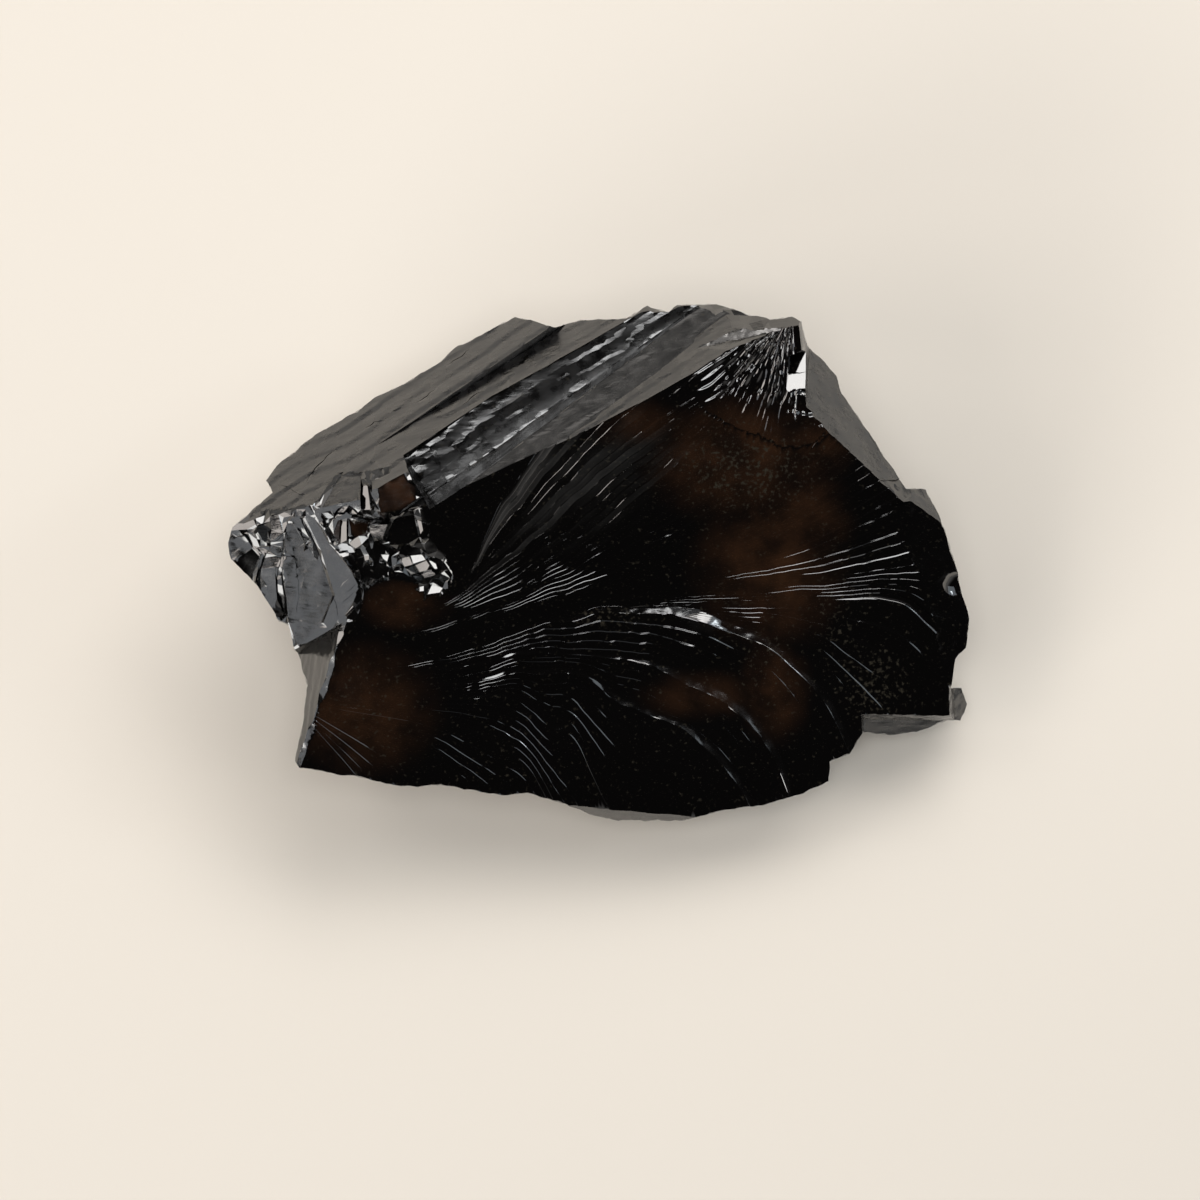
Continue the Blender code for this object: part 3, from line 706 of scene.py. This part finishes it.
WHOLE_FACES = {
    "slab_outer": (((-19.6, 18.2, 14.8), 123, 50), SLAB),
    "left_plate": (((-23.9, -2.2, 20.8), 218, 23), PLATE),
    "top_edge": (((8.0, 25.2, 20.5), 96, 60), JAGGED),
    "front_lip": (((3.0, -24.7, 8.6), -90, 58), BEVEL),
    "under_left_back": (((-37.1, 2.5, 14.2), (-28.5, 13.1, 11.2), (-20.0, 7.5, 0.0)), SHELL),
    "under_back_left": (((-28.5, 13.1, 12.0), (-8.5, 24.8, 12.8), (-13.0, 15.0, 0.0)), SHELL),
    "under_back": (((-8.5, 24.8, 12.8), (11.6, 26.0, 15.6), (2.0, 20.0, 0.0)), SHELL),
    "under_back_right": (((19.0, 24.7, 19.0), (24.2, 17.1, 15.0), (18.0, 13.0, 0.0)), SHELL),
    "under_right": (((34.7, 3.2, 11.5), (37.1, -5.5, 7.8), (27.0, -3.0, 0.0)), SHELL),
    "under_ledge": (((35.0, -15.8, 2.2), (26.5, -16.9, 1.8), (29.0, -13.5, 0.0)), SHELL),
    "under_front_right": (((23.1, -21.8, 6.0), (8.9, -25.7, 5.0), (15.0, -18.0, 0.0)), SHELL),
    "under_front": (((8.9, -25.7, 4.2), (-7.3, -23.0, 7.0), (-1.0, -18.5, 0.0)), SHELL),
    "under_front_left": (((-9.7, -23.2, 7.4), (-30.1, -20.4, 11.2), (-18.0, -15.5, 0.0)), SHELL),
    "under_left": (((-30.6, -19.6, 11.2), (-36.9, 0.5, 14.2), (-22.0, -8.0, 0.0)), SHELL),
}

# Notches: what is outside every face of the group is broken away.
STEPS = {
    "groove": {
        "slab_inner": (((-7.9, 18.0, 21.2), 118.7, 50), SLAB),
        "groove_riser": (((-13.2, 17.8, 18.8), -54.6, 62), STRIP),
    },
    "rough_band": {
        "rough_end": (((-18.7, 9.3, 22.0), 27, 82), STRIP),
        "rough_wall": (((-13.2, 15.1, 21.2), -54.5, 76), STRIP),
        "rough_floor": (((-13.2, 15.1, 20.8), -60, 16), CRUMBLY),
        "rough_riser": (((0.0, 18.4, 20.9), 125.5, 70), STRIP),
    },
    "strips": {
        "strip_edge": (((0.0, 18.8, 20.9), -54.5, 80), STRIP),
        "dark_strip": (((1.0, 17.0, 22.8), 120, 37), STRIP),
        "rim_strip": (((5.7, 17.0, 25.4), 122.9, 50), SLAB),
    },
    "bright_corner": {
        "bright_facet": (((10.9, 21.9, 23.8), 139, 25), CRINKLED),
        "bright_riser": (((10.3, 21.4, 23.9), 111, 60), STRIP),
        "bright_left_wall": (((6.2, 20.9, 23.0), -47, 80), STRIP),
        "bright_top_wall": (((12.0, 23.6, 22.9), -72, 75), STRIP),
    },
    "right_edge": {
        "edge_low": (((32.0, -3.0, 14.35), -38, 26), EDGE),
        "edge_wall": (((33.0, 6.4, 14.0), -80, 85), STRIP),
    },
    "edge_rim": {
        "right_side": (((33.2, 4.5, 16.5), 32, 48), CRINKLED),
        "rim_wall": (((33.0, 8.8, 14.0), -80, 85), STRIP),
    },
    "corner_notch": {
        "corner_glint": (((19.1, 17.1, 23.5), 75, 22), FLAT),
        "corner_left_wall": (((18.5, 18.5, 23.5), -6, 84), FLAT),
        "corner_top_wall": (((19.0, 20.6, 23.5), -65, 84), FLAT),
    },
    "right_bevel": {
        "right_plane": (((25.0, 11.0, 20.8), 28, 47), BEVEL),
        "apex_side": (((20.1, 19.0, 24.0), 2, 80), BEVEL),
    },
    "left_bevel": {
        "left_strip": (((-27.6, -12.5, 17.0), 172, 62), STREAKY),
        "plate_end": (((-28.0, -7.1, 18.0), -63, 85), STRIP),
    },
    "ledge_front": {
        "ledge_top": (((29.0, -15.0, 6.9), -80, 40), BEVEL),
        "ledge_wall": (((30.0, -15.3, 8.0), -90, 80), CRINKLED),
        "ledge_side": (((26.4, -17.0, 8.0), 0, 85), CRINKLED),
    },
    "ledge_end": {
        "tip_top": (((36.0, -14.0, 5.6), -20, 46), CRINKLED),
        "tip_wall": (((35.3, -13.0, 8.0), 0, 80), CRINKLED),
        "tip_back": (((36.0, -12.2, 8.0), -90, 85), BEVEL),
    },
}

# Soft patches of the main scar: brown painted reflection, dust with painted glints, and duller gloss.
# Each has a centre, radii and strength.
WARM_REFLECTION_PATCHES = [
    ((14.0, 10.5), (9.0, 6.0), 0.9),
    ((17.0, -0.5), (7.5, 7.5), 0.95),
    ((20.0, 4.5), (5.0, 5.0), 0.7),
    ((-23.5, -14.5), (7.0, 6.5), 0.8),
    ((3.5, 14.0), (4.5, 2.5), 0.6),
    ((-19.5, -4.0), (4.5, 2.5), 0.8),
    ((10.0, -13.0), (6.0, 2.5), 0.6),
    ((17.5, -12.5), (3.5, 5.0), 0.8),
    ((21.0, 11.5), (4.0, 3.5), 0.6),
]
# Dust specks, and in part painted glints from tiny pits.
DUST_AND_GLINT_PATCHES = [
    ((15.0, 9.5), (8.0, 4.5), 1.0),
    ((27.5, -12.0), (4.5, 4.0), 1.0),
    ((24.0, -5.0), (3.0, 5.0), 0.5),
    ((1.0, -5.2), (4.5, 1.5), 0.9),
    ((16.0, -9.0), (3.0, 3.0), 0.5),
    ((-3.0, 12.0), (6.0, 3.0), 0.4),
    ((-24.0, -14.0), (4.0, 5.0), 0.3),
]
# Where the hackles of the main scar fade out.
CALM_PATCHES = [
    ((5.0, 0.6), (6.5, 3.0), 0.85),
    ((13.0, 2.5), (5.5, 4.0), 0.6),
    ((19.0, -1.8), (7.0, 2.2), 0.2),
    ((15.0, 7.5), (5.0, 3.5), 0.5),
    ((7.0, -20.0), (9.0, 3.5), 0.4),
]
DULL_PATCHES = [
    ((14.0, 11.0), (6.5, 4.5), 0.22),
    ((-24.5, -12.0), (3.0, 3.0), 0.3),
]


def patches(spots, x, y):
    """How strongly the nearest of the soft patches covers each point."""
    total = 0 * x
    for (cx, cy), (rx, ry), strength in spots:
        away = np.hypot((x - cx) / rx, (y - cy) / ry)
        total = np.maximum(total, strength * smooth(1.25, 0.2, away))
    return total


# ---- cutters


def axes_of(face):
    """The face's own frame: along its level line, up its dip, and out of the stone."""
    through = Vector(face[0])
    if isinstance(face[1], tuple):
        out = (Vector(face[1]) - through).cross(Vector(face[2]) - through).normalized()
    else:
        azimuth, dip = map(math.radians, face[1:])
        sideways = Vector((math.cos(azimuth), math.sin(azimuth), 0))
        out = sideways * math.sin(dip) + Vector((0, 0, math.cos(dip)))
    level = Vector((-out.y, out.x, 0)).normalized()
    axes = Matrix((level, out.cross(level), out)).transposed().to_4x4()
    axes.translation = through
    return axes


def stone_extent(axes):
    """The stretch of a face's frame that the stone can reach, along and up the face."""
    away = axes.inverted()
    corners = [away @ Vector((x, y, z)) for x, y in OUTLINE for z in (0, STONE_HEIGHT)]
    lows = [min(c[k] for c in corners) for k in range(2)]
    highs = [max(c[k] for c in corners) for k in range(2)]
    return lows, highs


def spread(share, low, high):
    """Even stops from low to high, with the outermost ones pushed far out."""
    inner = low + (high - low) * share
    return np.where(share == 0, -CUTTER_REACH, np.where(share == 1, CUTTER_REACH, inner))


def closed_sheet(name, columns, rows):
    """A grid whose rim is drawn up into a closed block, with vertices numbered by column and row."""
    shape = bmesh.new()
    bmesh.ops.create_grid(shape, x_segments=columns - 1, y_segments=rows - 1, size=1)
    close_above(shape, 1)
    mesh = as_mesh(name, shape)
    points = read(mesh.vertices, "co", float, 3).reshape(-1, 3)
    column = np.rint((points[:, 0] + 1) / 2 * (columns - 1)).astype(int)
    row = np.rint((1 - points[:, 1]) / 2 * (rows - 1)).astype(int)
    return mesh, row, column, points[:, 2] > 0.5


def placed(mesh, points, *values):
    """A cutter from a mesh whose vertices are moved to the points and carry the values."""
    mesh.vertices.foreach_set("co", (points * MM).ravel())
    write(mesh, *values)
    mesh.update()
    return linked(mesh)


def above_sheet(name, x, y, z, worn):
    """A closed block over a sheet whose vertices are given in plan rows, from +Y to -Y."""
    mesh, row, column, top = closed_sheet(name, x.shape[1], x.shape[0])
    px, py = x[row, column], y[row, column]
    pz = np.where(top, CUTTER_REACH, z[row, column])
    satin = np.maximum(patches(DULL_PATCHES, px, py), worn[row, column])
    # Brown painted reflection, and dust with painted glints, in patches over the main scar.
    warm_reflection, dust_and_glint = (patches(spots, px, py) for spots in (WARM_REFLECTION_PATCHES, DUST_AND_GLINT_PATCHES))
    return placed(mesh, np.column_stack((px, py, pz)), satin, warm_reflection, dust_and_glint, SCAR)


def pushed_out(x, y, z, worn):
    """The same sheet with a last ring of vertices far out, on the main scar's plane."""
    x, y, z, worn = (np.pad(part, 1, mode="edge") for part in (x, y, z, worn))
    x[:, 0], x[:, -1] = -CUTTER_REACH, CUTTER_REACH
    y[0, :], y[-1, :] = CUTTER_REACH, -CUTTER_REACH
    for ring in (np.s_[0, :], np.s_[-1, :], np.s_[:, 0], np.s_[:, -1]):
        z[ring] = scar_plane(x[ring], y[ring])
    return x, y, z, worn


def outside_of(name, face, kind):
    """A closed block that fills the space outside one face, with the face's relief on its side."""
    axes = axes_of(face)
    lows, highs = stone_extent(axes)
    cells = kind.cell * kind.stretch, kind.cell
    counts = [max(4, round((high - low) / cell)) + 1 for low, high, cell in zip(lows, highs, cells)]
    mesh, row, column, top = closed_sheet(name, *counts)
    shift = kind.jitter * np.array([scatter(column, row, seed) - 0.5 for seed in (91, 92)])
    u = spread(column / (counts[0] - 1), lows[0], highs[0]) + 2 * shift[0] * cells[0]
    v = spread(1 - row / (counts[1] - 1), lows[1], highs[1]) + 2 * shift[1] * cells[1]
    height = np.where(top, CUTTER_REACH, kind.relief(u, v))
    axes = np.array(axes)
    points = np.column_stack((u, v, height)) @ axes[:3, :3].T + axes[:3, 3]
    return placed(mesh, points, kind.satin, 0.0, 0.0, CRUSHED if kind.jitter else FACE)


def outline_ring():
    """The outline with a point every OUTLINE_STEP, and the way out of the stone at each."""
    ring = np.array(list(around(OUTLINE, OUTLINE_STEP)))
    along = np.roll(ring, -1, axis=0) - np.roll(ring, 1, axis=0)
    along /= np.linalg.norm(along, axis=1)[:, None]
    return ring, np.column_stack((-along[:, 1], along[:, 0]))


def outline_block():
    """The block that the stone is broken from, with walls that are already a little rough."""
    ring, outward = outline_ring()
    shape = bmesh.new()
    place = shape.verts.layers.int.new("place")
    verts = [shape.verts.new((x, y, 0)) for x, y in ring]
    for k, vert in enumerate(verts):
        vert[place] = k
    edges = [shape.edges.new((verts[k - 1], verts[k])) for k in range(len(verts))]
    bmesh.ops.edgeloop_fill(shape, edges=edges)
    for _ in range(round(BLOCK_HEIGHT / WALL_STEP)):
        made = bmesh.ops.extrude_edge_only(shape, edges=edges)["geom"]
        edges = [part for part in made if isinstance(part, bmesh.types.BMEdge) and part.is_boundary]
        fresh = [part for part in made if isinstance(part, bmesh.types.BMVert)]
        bmesh.ops.translate(shape, verts=fresh, vec=(0, 0, WALL_STEP))
    bmesh.ops.edgeloop_fill(shape, edges=edges)
    bmesh.ops.recalc_face_normals(shape, faces=shape.faces)
    for vert in shape.verts:
        k = vert[place]
        inset = WALL_INSET * (rough(k * OUTLINE_STEP / 1.1, vert.co.z / 1.6, 91) - 0.7)
        vert.co.x += inset * outward[k][0]
        vert.co.y += inset * outward[k][1]
    mesh = as_mesh("block", shape, MM)
    write(mesh, WALL_SATIN)
    return mesh


def boolean(obj, other, operation):
    modifier = obj.modifiers.new(other.name, "BOOLEAN")
    modifier.operation = operation
    modifier.solver = "MANIFOLD"
    modifier.object = other


SHARP_ANGLES = {SCAR: 85, FACE: 32, CRUSHED: 9}


def sharpen(mesh):
    """Smooth shading with sharp edges: few on the scars, nearly all of them on crushed rock."""
    mesh.shade_smooth()
    sharp = {}
    for kind, angle in SHARP_ANGLES.items():
        mesh.set_sharp_from_angle(angle=math.radians(angle))
        sharp[kind] = read(mesh.attributes["sharp_edge"].data, "value", bool)
    rounded = read(mesh.attributes["round"].data, "value", np.float32)
    ends = rounded[read(mesh.edges, "vertices", np.int32, 2).reshape(-1, 2)]
    choice = np.where((ends > SCAR / 2).all(axis=1), sharp[SCAR], sharp[FACE])
    choice = np.where((ends < CRUSHED / 2).any(axis=1), sharp[CRUSHED], choice)
    mesh.attributes["sharp_edge"].data.foreach_set("value", choice)


def notch(faces):
    """The space outside every face of a group: the block to take off, then the ones that bound it."""
    first, *others = [outside_of(name, *face) for name, face in faces.items()]
    for other in others:
        boolean(first, other, "INTERSECT")
    return first, *others


def fine_stone():
    """The whole stone, broken from its block face by face."""
    stone = linked(outline_block())
    cutters = [outside_of(name, *face) for name, face in WHOLE_FACES.items()]
    notches = [notch(faces) for faces in STEPS.values()]
    cutters += [first for first, *_ in notches]
    cutters.append(above_sheet("main_scar", *pushed_out(*main_scar_sheet())))
    cutters.append(above_sheet("corner_scar", *corner_scar_sheet()))
    cutters += [chip_block(name, *group) for name, group in GROUPS.items()]
    cutters.append(ball("shell", *SHELL_BALL))
    planes = {name: face for group in (WHOLE_FACES, *STEPS.values()) for name, (face, _) in group.items()}
    for name, cracks in CRACKS.items():
        cutters += [crack_wedge(name, planes[name], *crack) for crack in cracks]
    for cutter in cutters:
        boolean(stone, cutter, "DIFFERENCE")
    graph = bpy.context.evaluated_depsgraph_get()
    mesh = bpy.data.meshes.new_from_object(stone.evaluated_get(graph), depsgraph=graph)
    bounding = [other for _, *others in notches for other in others]
    for obj in (stone, *cutters, *bounding):
        bpy.data.objects.remove(obj)
    mesh.name = "fine_stone"
    sharpen(mesh)
    return linked(mesh)


# ---- material, room and light

BLACK = (0.0018, 0.0016, 0.0016, 1)
# A painted reflection: this brown stands in for something warm that the glassy faces mirror.
WARM_REFLECTION_COLOUR = (0.028, 0.0125, 0.0060, 1)
# Dust specks, and in part painted glints from tiny pits in the glass.
DUST_AND_GLINT_COLOUR = (0.026, 0.023, 0.017, 1)
DUST_AND_GLINT_GAIN = 1.22
REFRACTION = 2.0
GLOSSY = 0.06
SATIN = 0.34
# Noise in the material: how many times a metre it varies, and its detail.
MOTTLE, UNEVEN, SPECKS, GRAIN = (300.0, 7.0), (700.0, 6.0), (2400.0, 2.0), (1500.0, 5.0)
ALL = (0.0, 1.0)
STRIKE = 35.5  # the slabs' direction in plan
GRAIN_STRETCH = 0.22
GRAIN_HEIGHT = 0.00007
FLOOR_REACH = 2.5
FLOOR_COLOUR = (0.69, 0.645, 0.58, 1)
FLOOR_ROUGHNESS = 0.9
FLOOR_SHEEN = 0.2
SKY_COLOUR = (1.0, 0.97, 0.93, 1)
HORIZON_RADIANCE = 0.5
OVERHEAD_RADIANCE = 0.004
DARK_ABOVE = 0.5  # the sine of the angle above the horizon where the sky is dark
FOCAL_LENGTH = 300
SENSOR_WIDTH = 36
VIEW_CENTRE_Y = -3.5
VIEW_HEIGHT = 1012.0
LAMP_DISTANCE = 0.7
# name, azimuth, zenith, size (m), radiance, colour
LIGHTS = [
    ("key_back", 66, 47, (0.62, 0.24), 6.4, (1.0, 0.98, 0.96)),
    ("wide_back", 100, 47, (1.25, 0.50), 1.1, (1.0, 0.95, 0.90)),
    ("overhead", 0, 0, (0.25, 0.25), 5.5, (1.0, 1.0, 1.0)),
    ("glow_back", 85, 22, (0.6, 0.22), 0.22, (0.9, 0.95, 1.0)),
    ("back_left", 146, 44, (0.22, 0.18), 3.3, (1.0, 0.96, 0.92)),
    ("back_right", 12, 57, (0.46, 0.44), 0.95, (0.84, 0.93, 1.0)),
    ("right_spot", 14, 58, (0.10, 0.12), 9.0, (0.86, 0.94, 1.0)),
    ("left_lamp", 188, 48, (0.26, 0.30), 3.8, (1.0, 0.92, 0.86)),
    ("left", 222, 47, (0.28, 0.24), 0.95, (0.93, 0.96, 1.0)),
    ("front_left", 226, 68, (0.50, 0.26), 6.0, (1.0, 0.98, 0.95)),
]


def new_material(name):
    material = bpy.data.materials.new(name)
    material.use_nodes = True
    return material, material.node_tree, material.node_tree.nodes["Principled BSDF"]


def shungite():
    """Glassy black; painted brown reflection and dust with painted glints in patches; satin with a fine
    grain on the slabs.
    """
    material, tree, shader = new_material("noble_shungite")
    shader.inputs["IOR"].default_value = REFRACTION
    satin, warm_reflection = attribute(tree, "satin"), attribute(tree, "warm_reflection")
    place = tree.nodes.new("ShaderNodeTexCoord").outputs["Object"]
    # The brown is a painted reflection of something warm, broken up by the mottle; the specks are dust and
    # painted glints.
    mottle = mapped(tree, speckle(tree, place, *MOTTLE), (0.36, 0.66), (0.25, 1.0))
    black_with_painted_reflection = blend(tree, product(tree, warm_reflection, mottle), BLACK, WARM_REFLECTION_COLOUR)
    speck_density = mapped(tree, attribute(tree, "dust_and_glint"), ALL, (1.0, DUST_AND_GLINT_GAIN))
    dust_and_glint = mapped(tree, product(tree, speckle(tree, place, *SPECKS), speck_density), (0.64, 0.82), ALL)
    tree.links.new(blend(tree, dust_and_glint, black_with_painted_reflection, DUST_AND_GLINT_COLOUR), shader.inputs["Base Color"])
    uneven = mapped(tree, speckle(tree, place, *UNEVEN), (0.35, 0.65), (0.45, 1.35))
    roughness = mapped(tree, product(tree, satin, uneven), ALL, (GLOSSY, SATIN))
    tree.links.new(roughness, shader.inputs["Roughness"])
    along = tree.nodes.new("ShaderNodeMapping")
    along.inputs["Rotation"].default_value = (0, 0, math.radians(-STRIKE))
    along.inputs["Scale"].default_value = (GRAIN_STRETCH, 1, 1)
    tree.links.new(place, along.inputs["Vector"])
    grain = tree.nodes.new("ShaderNodeBump")
    grain.inputs["Distance"].default_value = GRAIN_HEIGHT
    tree.links.new(speckle(tree, along.outputs["Vector"], *GRAIN), grain.inputs["Height"])
    tree.links.new(mapped(tree, satin, ALL, (0.03, 1.0)), grain.inputs["Strength"])
    tree.links.new(grain.outputs["Normal"], shader.inputs["Normal"])
    return material


def attribute(tree, name):
    node = tree.nodes.new("ShaderNodeAttribute")
    node.attribute_name = name
    return node.outputs["Fac"]


def speckle(tree, place, scale, detail):
    """Noise that varies a given number of times over a metre."""
    node = tree.nodes.new("ShaderNodeTexNoise")
    node.inputs["Scale"].default_value = scale
    node.inputs["Detail"].default_value = detail
    tree.links.new(place, node.inputs["Vector"])
    return node.outputs["Fac"]


def mapped(tree, value, source, target):
    """A value whose source range is stretched onto the target range."""
    node = tree.nodes.new("ShaderNodeMapRange")
    names = ("From Min", "From Max", "To Min", "To Max")
    for name, number in zip(names, source + target):
        node.inputs[name].default_value = number
    tree.links.new(value, node.inputs["Value"])
    return node.outputs["Result"]


def product(tree, first, second):
    node = tree.nodes.new("ShaderNodeMath")
    node.operation = "MULTIPLY"
    tree.links.new(first, node.inputs[0])
    tree.links.new(second, node.inputs[1])
    return node.outputs["Value"]


def blend(tree, amount, first, second):
    """A mix of two colours; the first may come from another node."""
    node = tree.nodes.new("ShaderNodeMix")
    node.data_type = "RGBA"
    if isinstance(first, tuple):
        node.inputs["A"].default_value = first
    else:
        tree.links.new(first, node.inputs["A"])
    node.inputs["B"].default_value = second
    tree.links.new(amount, node.inputs["Factor"])
    return node.outputs["Result"]


def floor():
    shape = bmesh.new()
    bmesh.ops.create_grid(shape, x_segments=1, y_segments=1, size=FLOOR_REACH)
    obj = linked(as_mesh("floor", shape))
    material, _, shader = new_material("pale_floor")
    shader.inputs["Base Color"].default_value = FLOOR_COLOUR
    shader.inputs["Roughness"].default_value = FLOOR_ROUGHNESS
    shader.inputs["Specular IOR Level"].default_value = FLOOR_SHEEN
    obj.data.materials.append(material)


def panel(name, azimuth, zenith, size, radiance, colour):
    """A soft rectangular light that faces the stone. Its radiance is what the stone mirrors."""
    a, z = math.radians(azimuth), math.radians(zenith)
    away = Vector((math.sin(z) * math.cos(a), math.sin(z) * math.sin(a), math.cos(z)))
    lamp = bpy.data.lights.new(name, "AREA")
    lamp.shape = "RECTANGLE"
    lamp.size, lamp.size_y = size
    lamp.energy = radiance * math.pi * size[0] * size[1]
    lamp.color = colour
    obj = linked(lamp)
    obj.location = away * LAMP_DISTANCE
    obj.rotation_euler = (-obj.location).to_track_quat("-Z", "Y").to_euler()
    obj.visible_camera = False


def studio():
    """The lamps, and a sky that is bright at the horizon and dark overhead."""
    for light in LIGHTS:
        panel(*light)
    world = bpy.data.worlds.new("studio")
    bpy.context.scene.world = world
    world.use_nodes = True
    tree = world.node_tree
    axes = tree.nodes.new("ShaderNodeSeparateXYZ")
    tree.links.new(tree.nodes.new("ShaderNodeTexCoord").outputs["Generated"], axes.inputs["Vector"])
    glow = mapped(tree, axes.outputs["Z"], (0.0, DARK_ABOVE), (HORIZON_RADIANCE, OVERHEAD_RADIANCE))
    glow.node.interpolation_type = "SMOOTHSTEP"
    sky = tree.nodes["Background"]
    tree.links.new(glow, sky.inputs["Strength"])
    sky.inputs["Color"].default_value = SKY_COLOUR


def camera():
    """Straight down, as the photograph was taken, from far enough to be nearly without perspective."""
    lens = bpy.data.cameras.new("camera")
    lens.lens = FOCAL_LENGTH
    lens.sensor_width = SENSOR_WIDTH
    obj = linked(lens)
    obj.location = (0, VIEW_CENTRE_Y * MM, VIEW_HEIGHT * MM)
    bpy.context.scene.camera = obj


def main():
    bpy.context.scene.view_settings.view_transform = "Standard"
    camera()
    floor()
    studio()
    stone = fine_stone()
    stone.data.materials.clear()
    stone.data.materials.append(shungite())
    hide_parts(NODE)
    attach(stone, "root")


main()
